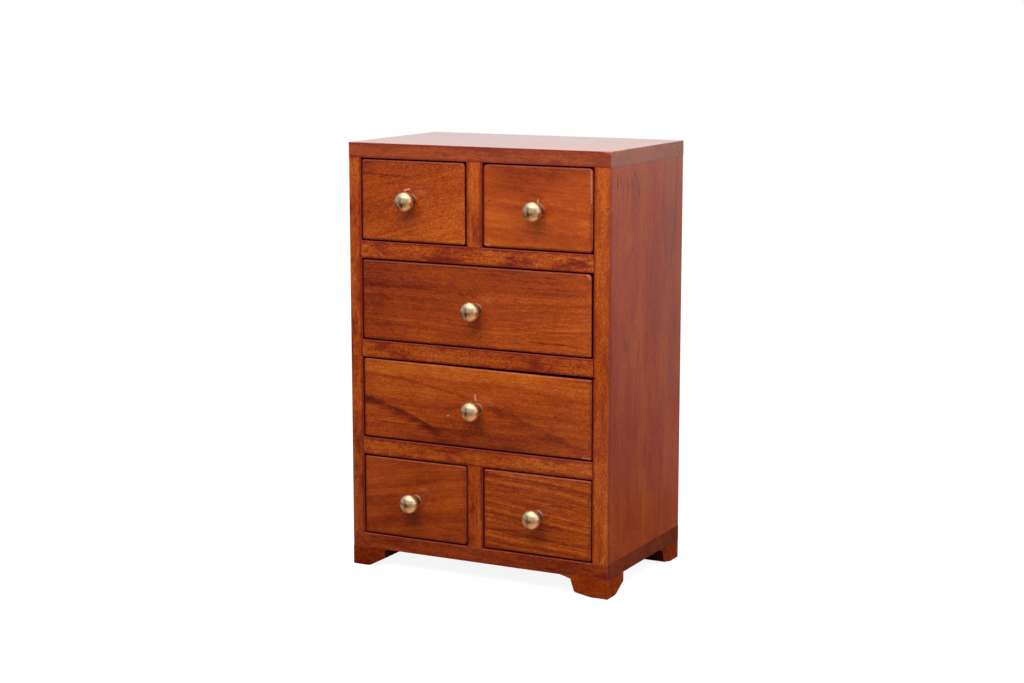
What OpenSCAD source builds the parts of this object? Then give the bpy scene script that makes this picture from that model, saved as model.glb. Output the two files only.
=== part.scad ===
// Desktop chest of six mini drawers, millimetres, +Z up, front towards -Y.
// The origin is under the middle of the whole object, knobs included, on the
// surface that the chest stands on.

/* [Case] */
// Height of the opening in each row of drawers
row_h = 57.3; // [45:0.1:80]
// Width of the opening of a small drawer
small_opening_w = 82.8; // [60:0.1:120]
// Depth of the case from its front edge to its back edge
case_d = 121.5; // [95:0.5:200]
// Thickness of the top board
top_t = 10.5; // [9:0.5:18]
// Thickness of the bottom board
bottom_t = 10.5; // [9:0.5:18]
// Thickness of the left side board
left_side_t = 9.5; // [9:0.5:18]
// Thickness of the right side board
right_side_t = 12; // [9:0.5:18]
// Thickness of each shelf between two rows
shelf_t = 12.2; // [9:0.1:18]
// Thickness of the upright between two small drawers
partition_t = 12; // [9:0.5:18]
// Thickness of the plywood back
back_t = 4; // [3:0.5:6]
// How far the back laps over the boards round it
back_lap = 5; // [4:0.5:6]

/* [Feet] */
// Height of the feet
foot_h = 13.2; // [10:0.1:25]
// Length of a foot's long side, where it meets the case
foot_w = 28; // [24:0.5:40]
// Length of a foot's short side, where it meets the case
foot_d = 26; // [22:0.5:40]
// Length of the flat sole along the long side
sole_w = 13; // [11:0.5:18]
// Length of the flat sole along the short side
sole_d = 13; // [11:0.5:18]
// How far the end of the long side leans in towards the sole
foot_lean = 2.8; // [1:0.1:4]
// How high the sole is sanded up at that end
sole_rise = 2.2; // [1:0.1:3]
// Height of the slanting cut at the end of the short side
end_cut_h = 6.8; // [4:0.1:8]
// Length of the flared tail that runs on from the long side under the case
tail_l = 8; // [4:0.5:14]
// Depth of that tail where it leaves the foot
tail_h = 2.2; // [1:0.1:4]

/* [Drawers] */
// Gap all round a drawer front
front_gap = 0.7; // [0.4:0.1:1.5]
// Gap under the drawer box, on which it slides
runner_gap = 0.3; // [0.2:0.1:0.4]
// Gap behind the drawer box when the drawer is shut
stop_gap = 0.5; // [0.2:0.1:0.9]
// Thickness of a drawer front
front_t = 9; // [7:0.5:14]
// Thickness of the sides of a drawer box
box_side_t = 7; // [6:0.5:10]
// Thickness of the back of a drawer box
box_back_t = 6; // [5:0.5:10]
// Thickness of a drawer bottom
box_bottom_t = 3; // [2:0.5:5]
// Height of a drawer bottom above the floor of its opening
bottom_rise = 4; // [3:0.5:8]
// Depth of the grooves that hold a drawer bottom
groove_d = 3; // [2:0.5:4]
// Play of a panel in its groove or rebate
panel_play = 0.2; // [0.1:0.05:0.4]
// How far the box sides stay below the top of the opening
side_drop = 5; // [3:0.5:12]

/* [Knobs] */
// How far a knob stands out from its drawer front
knob_reach = 15.2; // [14:0.1:22]
// Diameter of the knob's rounded head
knob_head_d = 14; // [11:0.5:18]
// Length of the head along the knob's axis
knob_head_l = 10; // [6:0.5:10]
// Diameter of the knob's collar against the wood
knob_collar_d = 9.4; // [8.6:0.1:14]
// Thickness of the collar
knob_collar_t = 1.8; // [1:0.1:3]
// Diameter of the neck between the collar and the head
knob_neck_d = 6.4; // [5:0.1:8]
// Diameter of the screw shank in the wood
shank_d = 3.2; // [2.5:0.1:4]
// Length of the screw shank in the wood
shank_l = 7; // [5:0.5:8]

/* [Fixings] */
// Diameter of a nail
nail_d = 1.4; // [1:0.1:2]
// Diameter of a nail's head
nail_head_d = 2.4; // [2.2:0.1:3]
// Thickness of a nail's head
nail_head_t = 0.8; // [0.5:0.1:1]
// Depth to which the drawer nails are punched under the surface
nail_set = 0.5; // [0.2:0.1:1]
// How far the front nails stand inwards off the middle of the box sides
front_nail_in = 1; // [0:0.1:1.5]
// Length of the nails that hold a drawer front
front_nail_l = 22; // [18:1:30]
// Length of the nails that hold the back of a drawer box
box_nail_l = 16; // [12:1:24]
// Length of the pins that hold a drawer bottom
bottom_pin_l = 11; // [9:1:16]
// Length of the pins that hold the back of the case
back_pin_l = 14; // [10:1:18]
// Diameter of the dowels in the joints of the case
dowel_d = 5; // [4:0.5:6]
// Length of those dowels
dowel_l = 20; // [16:1:26]
// Depth of a dowel in the face of a board
dowel_face_depth = 6; // [4:0.5:7]
// Distance of the dowels from the front edge and from the back
dowel_inset = 24; // [18:1:36]
// Diameter of the screw in each foot
screw_d = 3; // [2.5:0.1:4]
// Diameter of that screw's head
screw_head_d = 5.8; // [5:0.1:7]
// Depth to which that screw bites into the bottom board
screw_bite = 5; // [3:0.5:7]
// Depth of the screw's head above the sole
screw_recess = 2; // [1:0.1:4]
// Play of a fixing in its hole, all round
fixing_play = 0.05; // [0.03:0.01:0.1]

/* [Hidden] */

// Extra length of a cutter, so that it clears the face it cuts through
over = 1;
// Facets of the round parts that stay true curves
$fn = 48;

// Case
rows = 4;
row_pitch = row_h + shelf_t;
first_floor = foot_h + bottom_t;
case_h = first_floor + rows * row_h + (rows - 1) * shelf_t + top_t;
case_w = left_side_t + 2 * small_opening_w + partition_t + right_side_t;
wide_opening_w = 2 * small_opening_w + partition_t;
side_h = case_h - top_t - first_floor;
inner_d = case_d - back_t;
// With the front edge here, the object and its knobs are centred on the origin
front_y = (knob_reach - case_d) / 2;
left_x = -case_w / 2;
right_x = case_w / 2;
inner_left_x = left_x + left_side_t;
inner_right_x = right_x - right_side_t;
partition_x = inner_left_x + small_opening_w;
right_opening_x = partition_x + partition_t;

// Floor of a row's openings; row 1 is the top one
function floor_z(row) = first_floor + (rows - row) * row_pitch;
// Underside of the shelf under a row
function shelf_z(row) = floor_z(row) - shelf_t;

// Each drawer: the left edge, the width and the floor of its opening, how far
// its hand-drilled knob stands off the middle of the front, across and up, and
// how far its hand-driven left and right front nails stand above the middle
UPPER_LEFT = [inner_left_x, small_opening_w, floor_z(1), [-1, 0.8], [7, 6.8]];
UPPER_RIGHT = [right_opening_x, small_opening_w, floor_z(1), [1.3, -1.4], [3.6, 2]];
SECOND = [inner_left_x, wide_opening_w, floor_z(2), [1.8, -1.6], [-2.7, -6.4]];
THIRD = [inner_left_x, wide_opening_w, floor_z(3), [1.8, -0.7], [1.5, 2.5]];
LOWER_LEFT = [inner_left_x, small_opening_w, floor_z(4), [0.9, -0.9], [-1, -3]];
LOWER_RIGHT = [right_opening_x, small_opening_w, floor_z(4), [1, -1], [-2, 0.6]];

// Middle of a drawer's knob, from the corner of its opening
function knob_x(drawer) = drawer[1] / 2 + drawer[3][0];
function knob_z(drawer) = row_h / 2 + drawer[3][1];

// Drawer box, measured from the corner of its opening
box_end = inner_d - stop_gap;
box_top = row_h - side_drop;
box_back_z = bottom_rise + box_bottom_t;

// Places of the dowels along the depth, measured from the front edge
dowel_rows = [dowel_inset, inner_d - dowel_inset];
// Screw of a foot, measured from the foot's outer corner
screw_x = sole_w / 2;
screw_y = sole_d / 2;
screw_l = foot_h - screw_recess + screw_bite;
// Radius of the sanded corner of a foot
foot_corner_r = 2.5;
// Quarter turns of the foot at each corner of the case
FRONT_RIGHT = 0;
BACK_RIGHT = 1;
BACK_LEFT = 2;
FRONT_LEFT = 3;

// ---- Small helpers ------------------------------------------------------

// Points on an arc, for rounding a corner of an outline
function arc(centre, radius, from, to, steps = 6) =
    [for (i = [0:steps]) let (a = from + (to - from) * i / steps)
        centre + radius * [cos(a), sin(a)]];

// A board given by its lowest corner and its size, in the case's own place
module board(corner, size) {
    translate([corner[0], front_y + corner[1], corner[2]]) cube(size);
}

// A round rod that starts at a point and runs along one axis
module rod(start, along, diameter, length) {
    turn = along == "x" ? [0, 90, 0] : along == "-x" ? [0, -90, 0]
         : along == "y" ? [-90, 0, 0] : along == "-y" ? [90, 0, 0] : [0, 0, 0];
    translate(start) rotate(turn) cylinder(d = diameter, h = length);
}

// A nail whose head lies at its start; grown by play, it is its own hole.
// A hole is also cut back from the head to the surface, by the nail's set.
module nail(start, along, length, play = 0, set = 0) {
    turn = along == "x" ? [0, 90, 0] : along == "-x" ? [0, -90, 0]
         : along == "y" ? [-90, 0, 0] : along == "-y" ? [90, 0, 0] : [0, 0, 0];
    translate(start) rotate(turn) {
        cylinder(d = nail_d + 2 * play, h = length + play);
        translate([0, 0, -set])
            cylinder(d = nail_head_d + 2 * play, h = nail_head_t + set + play);
    }
}

// ---- Fixings of the case ------------------------------------------------

// Every dowel of the case. The two ends of a dowel lie in two boards.
module dowel_set(play = 0) {
    size = dowel_d + 2 * play;
    length = dowel_l + 2 * play;
    end_depth = dowel_l - dowel_face_depth + play;
    for (y = dowel_rows) {
        // Up into the top board and down into the bottom board
        for (x = [left_x + left_side_t / 2, right_x - right_side_t / 2]) {
            rod([x, front_y + y, case_h - top_t - end_depth], "z", size, length);
            rod([x, front_y + y, first_floor - dowel_face_depth - play], "z", size, length);
        }
        // Sideways through the side boards' faces into the shelves' ends
        for (row = [1:rows - 1]) {
            z = shelf_z(row) + shelf_t / 2;
            rod([inner_left_x + end_depth, front_y + y, z], "-x", size, length);
            rod([inner_right_x - end_depth, front_y + y, z], "x", size, length);
        }
        // Uprights: into the boards above and below them
        x = partition_x + partition_t / 2;
        rod([x, front_y + y, case_h - top_t - end_depth], "z", size, length);
        rod([x, front_y + y, first_floor - dowel_face_depth - play], "z", size, length);
        rod([x, front_y + y, floor_z(1) - dowel_face_depth - play], "z", size, length);
        rod([x, front_y + y, shelf_z(3) - end_depth], "z", size, length);
    }
}

// Every pin of the back, driven forwards along the laps and into the shelves
module back_pin_set(play = 0) {
    start_y = front_y + case_d - nail_set;
    low_z = first_floor - back_lap / 2;
    high_z = case_h - top_t + back_lap / 2;
    for (x = [inner_left_x, 0, inner_right_x])
        for (z = [low_z, high_z])
            nail([x, start_y, z], "-y", back_pin_l, play, play > 0 ? nail_set + over : 0);
    for (row = [1:rows - 1])
        for (x = [inner_left_x - back_lap / 2, 0, inner_right_x + back_lap / 2])
            nail([x, start_y, shelf_z(row) + shelf_t / 2], "-y", back_pin_l, play,
                 play > 0 ? nail_set + over : 0);
}

// One foot screw, pointing up, at the place of the foot's outer corner
module foot_screw(play = 0) {
    head_h = (screw_head_d - screw_d) / 2;
    translate([screw_x, screw_y, screw_recess]) {
        cylinder(d1 = screw_head_d + 2 * play, d2 = screw_d + 2 * play, h = head_h);
        cylinder(d = screw_d + 2 * play, h = screw_l + play);
    }
    if (play > 0)
        translate([screw_x, screw_y, -over])
            cylinder(d = screw_head_d + 2 * play, h = screw_recess + over);
}

// Puts a foot's shape, drawn at its outer corner, at a corner of the case. The
// four feet are alike, each a quarter turn on from the one before it.
module at_corner(turn) {
    right = turn == FRONT_RIGHT || turn == BACK_RIGHT;
    back = turn == BACK_RIGHT || turn == BACK_LEFT;
    translate([right ? right_x : left_x, front_y + (back ? case_d : 0), 0])
        rotate(90 * turn) mirror([1, 0, 0]) children();
}

module foot_screw_set(play = 0) {
    for (turn = [FRONT_RIGHT:FRONT_LEFT])
        at_corner(turn) foot_screw(play);
}

// ---- Case ---------------------------------------------------------------

// The rebate in the back edges of the outer boards
module back_rebate() {
    board([inner_left_x - back_lap, inner_d, first_floor - back_lap],
          [wide_opening_w + 2 * back_lap, back_t + over, side_h + 2 * back_lap]);
}

module top_board() {
    color("sienna") difference() {
        board([left_x, 0, case_h - top_t], [case_w, case_d, top_t]);
        back_rebate();
        dowel_set(fixing_play);
        back_pin_set(fixing_play);
    }
}

module bottom_board() {
    color("sienna") difference() {
        board([left_x, 0, foot_h], [case_w, case_d, bottom_t]);
        back_rebate();
        dowel_set(fixing_play);
        back_pin_set(fixing_play);
        foot_screw_set(fixing_play);
    }
}

module side_board(x, thickness) {
    color("chocolate") difference() {
        board([x, 0, first_floor], [thickness, case_d, side_h]);
        back_rebate();
        dowel_set(fixing_play);
        back_pin_set(fixing_play);
    }
}

module shelf(row) {
    color("sienna") difference() {
        board([inner_left_x, 0, shelf_z(row)], [wide_opening_w, inner_d, shelf_t]);
        dowel_set(fixing_play);
        back_pin_set(fixing_play);
    }
}

module partition(row) {
    color("chocolate") difference() {
        board([partition_x, 0, floor_z(row)], [partition_t, inner_d, row_h]);
        dowel_set(fixing_play);
    }
}

module back_panel() {
    color("peru") difference() {
        board([inner_left_x - back_lap + panel_play, inner_d,
               first_floor - back_lap + panel_play],
              [wide_opening_w + 2 * (back_lap - panel_play), back_t,
               side_h + 2 * (back_lap - panel_play)]);
        back_pin_set(fixing_play);
    }
}

// Outline of a foot's long side, from its outer corner to the end of its tail
function foot_long_outline() = concat(
    [[0, 0], [sole_w, 0]],
    arc([foot_w - foot_lean - foot_corner_r, sole_rise + foot_corner_r], foot_corner_r, -80, -10),
    [[foot_w, foot_h - tail_h], [foot_w + tail_l, foot_h], [0, foot_h]]);

// Outline of a foot's short side, from its outer corner
function foot_short_outline() = [
    [0, 0], [sole_d, 0], [foot_d - foot_corner_r / 2, end_cut_h - foot_corner_r / 2],
    [foot_d, end_cut_h + foot_corner_r / 2], [foot_d, foot_h], [0, foot_h]];

module foot(turn) {
    color("saddlebrown") difference() {
        at_corner(turn) intersection() {
            rotate([90, 0, 0]) translate([0, 0, -foot_d])
                linear_extrude(foot_d) polygon(foot_long_outline());
            rotate([90, 0, 90])
                linear_extrude(foot_w + tail_l) polygon(foot_short_outline());
        }
        foot_screw_set(fixing_play);
    }
}

module case_dowels() { color("burlywood") dowel_set(); }
module back_panel_pins() { color("silver") back_pin_set(); }
module foot_screws() { color("silver") foot_screw_set(); }

// ---- Drawers ------------------------------------------------------------
// Each part is drawn from the corner of its drawer's opening.

module in_opening(drawer) {
    translate([drawer[0], front_y, drawer[2]]) children();
}

// The nails of one drawer: two through the front, two through each side into
// the back, and one or more up through the bottom into the back
module drawer_nail_set(drawer, play = 0) {
    width = drawer[1];
    set = play > 0 ? nail_set + over : 0;
    side_x = front_gap + box_side_t / 2 + front_nail_in;
    back_y = box_end - box_back_t / 2;
    nail([side_x, nail_set, row_h / 2 + drawer[4][0]], "y", front_nail_l, play, set);
    nail([width - side_x, nail_set, row_h / 2 + drawer[4][1]], "y", front_nail_l, play, set);
    for (share = [1 / 4, 3 / 4]) {
        z = box_back_z + (box_top - box_back_z) * share;
        nail([front_gap + nail_set, back_y, z], "x", box_nail_l, play, set);
        nail([width - front_gap - nail_set, back_y, z], "-x", box_nail_l, play, set);
    }
    pins = width > small_opening_w ? [1 / 4, 3 / 4] : [1 / 2];
    for (share = pins)
        nail([width * share, back_y, bottom_rise + nail_set], "z", bottom_pin_l, play, set);
}

// The groove for the bottom runs round the inside of the front and the sides
module bottom_groove(width) {
    translate([front_gap + box_side_t - groove_d, front_t - groove_d, bottom_rise])
        cube([width - 2 * (front_gap + box_side_t - groove_d),
              box_end - front_t + groove_d + over, box_bottom_t + panel_play]);
}

module drawer_front(drawer) {
    width = drawer[1];
    color("peru") in_opening(drawer) difference() {
        translate([front_gap, 0, front_gap])
            cube([width - 2 * front_gap, front_t, row_h - 2 * front_gap]);
        bottom_groove(width);
        drawer_nail_set(drawer, fixing_play);
        rod([knob_x(drawer), -over, knob_z(drawer)], "y", shank_d + 2 * fixing_play,
            shank_l + fixing_play + over);
    }
}

module box_side(drawer, right) {
    width = drawer[1];
    x = right ? width - front_gap - box_side_t : front_gap;
    color("tan") in_opening(drawer) difference() {
        translate([x, front_t, runner_gap])
            cube([box_side_t, box_end - front_t, box_top - runner_gap]);
        bottom_groove(width);
        drawer_nail_set(drawer, fixing_play);
    }
}

module box_back(drawer) {
    width = drawer[1];
    color("tan") in_opening(drawer) difference() {
        translate([front_gap + box_side_t, box_end - box_back_t, box_back_z + panel_play])
            cube([width - 2 * (front_gap + box_side_t), box_back_t,
                  box_top - box_back_z - panel_play]);
        drawer_nail_set(drawer, fixing_play);
    }
}

module drawer_bottom(drawer) {
    width = drawer[1];
    edge = front_gap + box_side_t - groove_d + panel_play;
    color("wheat") in_opening(drawer) difference() {
        translate([edge, front_t - groove_d + panel_play, bottom_rise])
            cube([width - 2 * edge, box_end - front_t + groove_d - panel_play, box_bottom_t]);
        drawer_nail_set(drawer, fixing_play);
    }
}

module drawer_nails(drawer) {
    color("silver") in_opening(drawer) drawer_nail_set(drawer);
}

// Half outline of the knob: screw shank, collar, waisted neck and flattened head
function knob_outline() = let (
    head_c = knob_reach - knob_head_l / 2,
    neck_angle = asin(knob_neck_d / knob_head_d) - 90,
    steps = 14)
    concat(
        [[0, -shank_l], [shank_d / 2 * 0.4, -shank_l], [shank_d / 2, -shank_l + shank_d],
         [shank_d / 2, 0], [knob_collar_d / 2, 0], [knob_collar_d / 2, knob_collar_t / 2],
         [knob_collar_d / 2 - knob_collar_t / 2, knob_collar_t],
         [knob_neck_d / 2, knob_collar_t + (knob_collar_d - knob_neck_d) / 4]],
        [for (i = [0:steps]) let (a = neck_angle + (90 - neck_angle) * i / steps)
            [i == steps ? 0 : knob_head_d / 2 * cos(a), head_c + knob_head_l / 2 * sin(a)]]);

module knob(drawer) {
    color("gold") in_opening(drawer)
        translate([knob_x(drawer), 0, knob_z(drawer)]) rotate([90, 0, 0])
            rotate_extrude() polygon(knob_outline());
}

// ---- Nodes --------------------------------------------------------------

top_board();
bottom_board();
side_board(left_x, left_side_t);  // left_side
side_board(inner_right_x, right_side_t);  // right_side
shelf(1);  // upper_shelf
shelf(2);  // middle_shelf
shelf(3);  // lower_shelf
partition(1);  // upper_partition
partition(rows);  // lower_partition
back_panel();
foot(FRONT_LEFT);  // front_left_foot
foot(FRONT_RIGHT);  // front_right_foot
foot(BACK_LEFT);  // back_left_foot
foot(BACK_RIGHT);  // back_right_foot
case_dowels();
back_panel_pins();
foot_screws();

drawer_front(UPPER_LEFT);  // upper_left_front
box_side(UPPER_LEFT, false);  // upper_left_box_left
box_side(UPPER_LEFT, true);  // upper_left_box_right
box_back(UPPER_LEFT);  // upper_left_box_back
drawer_bottom(UPPER_LEFT);  // upper_left_bottom
drawer_nails(UPPER_LEFT);  // upper_left_nails
knob(UPPER_LEFT);  // upper_left_knob

drawer_front(UPPER_RIGHT);  // upper_right_front
box_side(UPPER_RIGHT, false);  // upper_right_box_left
box_side(UPPER_RIGHT, true);  // upper_right_box_right
box_back(UPPER_RIGHT);  // upper_right_box_back
drawer_bottom(UPPER_RIGHT);  // upper_right_bottom
drawer_nails(UPPER_RIGHT);  // upper_right_nails
knob(UPPER_RIGHT);  // upper_right_knob

drawer_front(SECOND);  // second_front
box_side(SECOND, false);  // second_box_left
box_side(SECOND, true);  // second_box_right
box_back(SECOND);  // second_box_back
drawer_bottom(SECOND);  // second_bottom
drawer_nails(SECOND);  // second_nails
knob(SECOND);  // second_knob

drawer_front(THIRD);  // third_front
box_side(THIRD, false);  // third_box_left
box_side(THIRD, true);  // third_box_right
box_back(THIRD);  // third_box_back
drawer_bottom(THIRD);  // third_bottom
drawer_nails(THIRD);  // third_nails
knob(THIRD);  // third_knob

drawer_front(LOWER_LEFT);  // lower_left_front
box_side(LOWER_LEFT, false);  // lower_left_box_left
box_side(LOWER_LEFT, true);  // lower_left_box_right
box_back(LOWER_LEFT);  // lower_left_box_back
drawer_bottom(LOWER_LEFT);  // lower_left_bottom
drawer_nails(LOWER_LEFT);  // lower_left_nails
knob(LOWER_LEFT);  // lower_left_knob

drawer_front(LOWER_RIGHT);  // lower_right_front
box_side(LOWER_RIGHT, false);  // lower_right_box_left
box_side(LOWER_RIGHT, true);  // lower_right_box_right
box_back(LOWER_RIGHT);  // lower_right_box_back
drawer_bottom(LOWER_RIGHT);  // lower_right_bottom
drawer_nails(LOWER_RIGHT);  // lower_right_nails
knob(LOWER_RIGHT);  // lower_right_knob
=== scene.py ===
from math import cos, radians, sin

import bmesh
import bpy
from mathutils import Matrix, Vector


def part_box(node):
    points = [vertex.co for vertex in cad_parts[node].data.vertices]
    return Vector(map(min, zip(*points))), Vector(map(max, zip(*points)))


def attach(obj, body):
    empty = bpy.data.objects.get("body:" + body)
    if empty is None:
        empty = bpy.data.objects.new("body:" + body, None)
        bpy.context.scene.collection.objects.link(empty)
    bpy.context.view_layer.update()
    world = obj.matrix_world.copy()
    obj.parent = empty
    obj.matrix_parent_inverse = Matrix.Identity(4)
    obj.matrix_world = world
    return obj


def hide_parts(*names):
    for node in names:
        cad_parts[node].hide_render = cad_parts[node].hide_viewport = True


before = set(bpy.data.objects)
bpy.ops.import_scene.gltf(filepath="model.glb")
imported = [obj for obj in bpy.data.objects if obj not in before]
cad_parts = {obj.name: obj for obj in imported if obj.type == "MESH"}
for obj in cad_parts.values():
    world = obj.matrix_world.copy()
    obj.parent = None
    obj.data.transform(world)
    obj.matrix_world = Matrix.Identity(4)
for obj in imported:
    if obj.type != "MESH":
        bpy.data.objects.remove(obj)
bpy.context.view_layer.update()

mm = 0.001


# ---- The studio ---------------------------------------------------------
# The chest stands on a pale table top in front of a white backdrop. Two soft
# lamps hang in front and to the right, by a white wall, and the room to the
# left of the camera is much darker than the backdrop.

def colour(red, green, blue):
    """A colour written the way paint charts give it, 0 to 255, as linear light."""
    def linear(value):
        share = value / 255
        return share / 12.92 if share <= 0.04045 else ((share + 0.055) / 1.055) ** 2.4
    return (linear(red), linear(green), linear(blue), 1.0)


def add(tree, kind, inputs=None, **settings):
    """A shader node of this kind, with its settings, and its inputs set or linked."""
    node = tree.nodes.new("ShaderNode" + kind)
    for name, value in settings.items():
        setattr(node, name, value)
    for socket, value in (inputs or {}).items():
        if isinstance(value, bpy.types.NodeSocket):
            tree.links.new(value, node.inputs[socket])
        else:
            node.inputs[socket].default_value = value
    return node


def calc(tree, operation, *values):
    """What a Math node makes of these numbers or sockets."""
    return add(tree, "Math", dict(enumerate(values)), operation=operation).outputs[0]


def times(tree, first, *others):
    """The product of numbers or sockets."""
    for value in others:
        first = calc(tree, "MULTIPLY", first, value)
    return first


def most(tree, first, *others):
    """The largest of numbers or sockets."""
    for value in others:
        first = calc(tree, "MAXIMUM", first, value)
    return first


def vector_calc(tree, operation, *values):
    """What a Vector Math node makes of these vectors: a number or another vector."""
    node = add(tree, "VectorMath", dict(enumerate(values)), operation=operation)
    number = operation in ("LENGTH", "DISTANCE", "DOT_PRODUCT")
    return node.outputs["Value" if number else "Vector"]


def split(tree, vector):
    """The x, y and z of a vector."""
    part = add(tree, "SeparateXYZ", {"Vector": vector})
    return part.outputs["X"], part.outputs["Y"], part.outputs["Z"]


def place_on_chest(tree):
    """Where a point of a piece lies, in metres."""
    return add(tree, "TexCoord").outputs["Object"]


def ramp(tree, value, start, end, low=0.0, high=1.0, smooth=True):
    """Low before start, high after end, and an even change between them."""
    kind = "SMOOTHSTEP" if smooth else "LINEAR"
    inputs = {"Value": value, "From Min": start, "From Max": end, "To Min": low, "To Max": high}
    return add(tree, "MapRange", inputs, interpolation_type=kind).outputs["Result"]


def mix_colour(tree, share, first, second):
    return add(tree, "Mix", {0: share, 6: first, 7: second}, data_type="RGBA").outputs[2]


def new_mesh(name, bm):
    mesh = bpy.data.meshes.new(name)
    bm.to_mesh(mesh)
    bm.free()
    return mesh


def put_in_scene(name, data):
    thing = bpy.data.objects.new(name, data)
    bpy.context.scene.collection.objects.link(thing)
    return thing


def heading_from(azimuth, elevation):
    """The direction that points away from the chest; azimuth 0 is straight in front."""
    a, e = radians(azimuth), radians(elevation)
    return Vector((sin(a) * cos(e), -cos(a) * cos(e), sin(e)))


def aim(thing, target):
    thing.rotation_mode = "QUATERNION"
    thing.rotation_quaternion = (target - thing.location).to_track_quat("-Z", "Y")


WHITE = (1, 1, 1, 1)
WARM_LIGHT = colour(255, 205, 168)
table_radius = 2.2


def build_room():
    """How bright the room is in each direction: to the right, away behind the chest, and up."""
    room = bpy.data.worlds.new("room")
    bpy.context.scene.world = room
    room.use_nodes = True
    tree = room.node_tree
    tree.nodes.clear()
    heading = add(tree, "TexCoord").outputs["Generated"]
    right, depth, up = split(tree, heading)
    light_path = add(tree, "LightPath")
    backdrop = times(tree, ramp(tree, depth, 0.0, 0.4), most(
        tree, ramp(tree, up, -0.15, -0.06, 0.06, 0.44, False),
        ramp(tree, up, -0.06, 0.08, 0.0, 0.90)))
    ceiling = times(tree, ramp(tree, up, 0.1, 0.75, 0.0, 1.15),
                    ramp(tree, right, -0.6, 0.3, 0.6, 1.0))
    white_wall = times(tree, ramp(tree, right, 0.35, 0.9, 0.0, 0.75),
                       ramp(tree, up, -0.35, 0.05))
    ahead = ramp(tree, depth, 0.3, -0.1)
    beside_camera = times(tree, ahead, ramp(tree, right, -0.2, 0.35, 0.0, 0.42))
    near_floor = times(tree, ahead, ramp(tree, up, -0.25, -0.7, 0.0, 0.62),
                       ramp(tree, right, -0.7, 0.0, 0.45, 1.0))
    pale_floor = times(tree, ahead, ramp(tree, up, -0.2, -0.13),
                       ramp(tree, right, -0.50, -0.41, 0.12, 0.45))
    warm_wall = ramp(tree, right, -0.55, -0.75, 0.0, 0.36)
    # What polished metal shows of the front lamp: its soft cloth, not its bare bulb
    towards_lamp = vector_calc(tree, "DOT_PRODUCT", heading, heading_from(0, 66))
    lamp_image = times(tree, ramp(tree, towards_lamp, 0.66, 0.94, 0.0, 1.5),
                       light_path.outputs["Is Glossy Ray"])
    studio = most(tree, ramp(tree, up, -0.05, 0.15, 0.02, 0.16), backdrop, ceiling, white_wall,
                  beside_camera, near_floor, pale_floor, warm_wall, lamp_image)
    warm = most(tree, ramp(tree, studio, 0.1, 0.4, 1.0, 0.0),
                times(tree, ahead, ramp(tree, up, 0.1, -0.1)))
    tint = mix_colour(tree, warm, WHITE, WARM_LIGHT)
    seen = light_path.outputs["Is Camera Ray"]
    strength = add(tree, "Mix", {0: seen, 2: studio, 3: 1.0}, data_type="FLOAT").outputs[0]
    paint = mix_colour(tree, seen, tint, WHITE)
    background = add(tree, "Background", {"Color": paint, "Strength": strength})
    output = add(tree, "OutputWorld")
    tree.links.new(background.outputs[0], output.inputs["Surface"])


def build_table():
    """The table top. Close to the chest, its mirror image is left to the room's own floor."""
    bm = bmesh.new()
    bmesh.ops.create_circle(bm, cap_ends=True, segments=64, radius=table_radius)
    table = put_in_scene("table_top", new_mesh("table_top", bm))
    paint = bpy.data.materials.new("table_paint")
    paint.use_nodes = True
    tree = paint.node_tree
    tree.nodes.clear()
    place = place_on_chest(tree)
    right, depth = split(tree, place)[:2]
    reach = vector_calc(tree, "LENGTH", place)
    light_path = add(tree, "LightPath")
    seen = light_path.outputs["Is Camera Ray"]
    mirrored = most(tree, light_path.outputs["Is Glossy Ray"],
                    light_path.outputs["Is Transmission Ray"])
    behind = times(tree, ramp(tree, reach, 0.3, 2.0, 0.09, 0.24, False),
                   ramp(tree, depth, 0.0, 0.3))
    beside_chest = calc(tree, "DIVIDE", right, reach)
    beside_camera = ramp(tree, beside_chest, -0.2, 0.35, 0.0, 0.42)
    pale_floor = times(tree, ramp(tree, reach, 0.6, 2.0),
                       ramp(tree, beside_chest, -0.50, -0.41, 0.12, 0.45))
    near_floor = times(tree, ramp(tree, reach, 0.8, 0.45, 0.0, 0.33),
                       ramp(tree, beside_chest, -0.42, -0.30))
    warm_wall = ramp(tree, beside_chest, -0.55, -0.75, 0.0, 0.26)
    in_front = ramp(tree, depth, 0.0, -0.3)
    ahead = times(tree, most(tree, beside_camera, pale_floor, near_floor, warm_wall), in_front)
    glow = calc(tree, "ADD", times(tree, seen, 0.90),
                times(tree, mirrored, calc(tree, "ADD", behind, ahead)))
    tint = mix_colour(tree, times(tree, mirrored, in_front), WHITE, WARM_LIGHT)
    grey = times(tree, ramp(tree, seen, 0.0, 1.0, 0.12, 0.22, smooth=False),
                 calc(tree, "SUBTRACT", 1.0, mirrored))
    matt = add(tree, "BsdfDiffuse", {"Color": add(tree, "CombineColor", {
        "Red": grey, "Green": grey, "Blue": grey}).outputs[0]})
    lit = add(tree, "Emission", {"Color": tint, "Strength": glow})
    both = add(tree, "AddShader", {0: matt.outputs[0], 1: lit.outputs[0]})
    clear = add(tree, "BsdfTransparent")
    opening = times(tree, mirrored, ramp(tree, reach, 0.25, 0.35, 1.0, 0.0))
    surface = add(tree, "MixShader", {0: opening, 1: both.outputs[0], 2: clear.outputs[0]})
    output = add(tree, "OutputMaterial")
    tree.links.new(surface.outputs[0], output.inputs["Surface"])
    table.data.materials.append(paint)


def hang_lamp(name, azimuth, elevation, distance, width, height, power, target):
    """A soft lamp that lights the chest. The room holds what metal mirrors of it."""
    lamp = bpy.data.lights.new(name, "AREA")
    lamp.shape = "RECTANGLE"
    lamp.size = width
    lamp.size_y = height
    lamp.energy = power
    lamp_object = put_in_scene(name, lamp)
    lamp_object.location = target + heading_from(azimuth, elevation) * distance
    lamp_object.visible_glossy = False
    aim(lamp_object, target)


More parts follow.
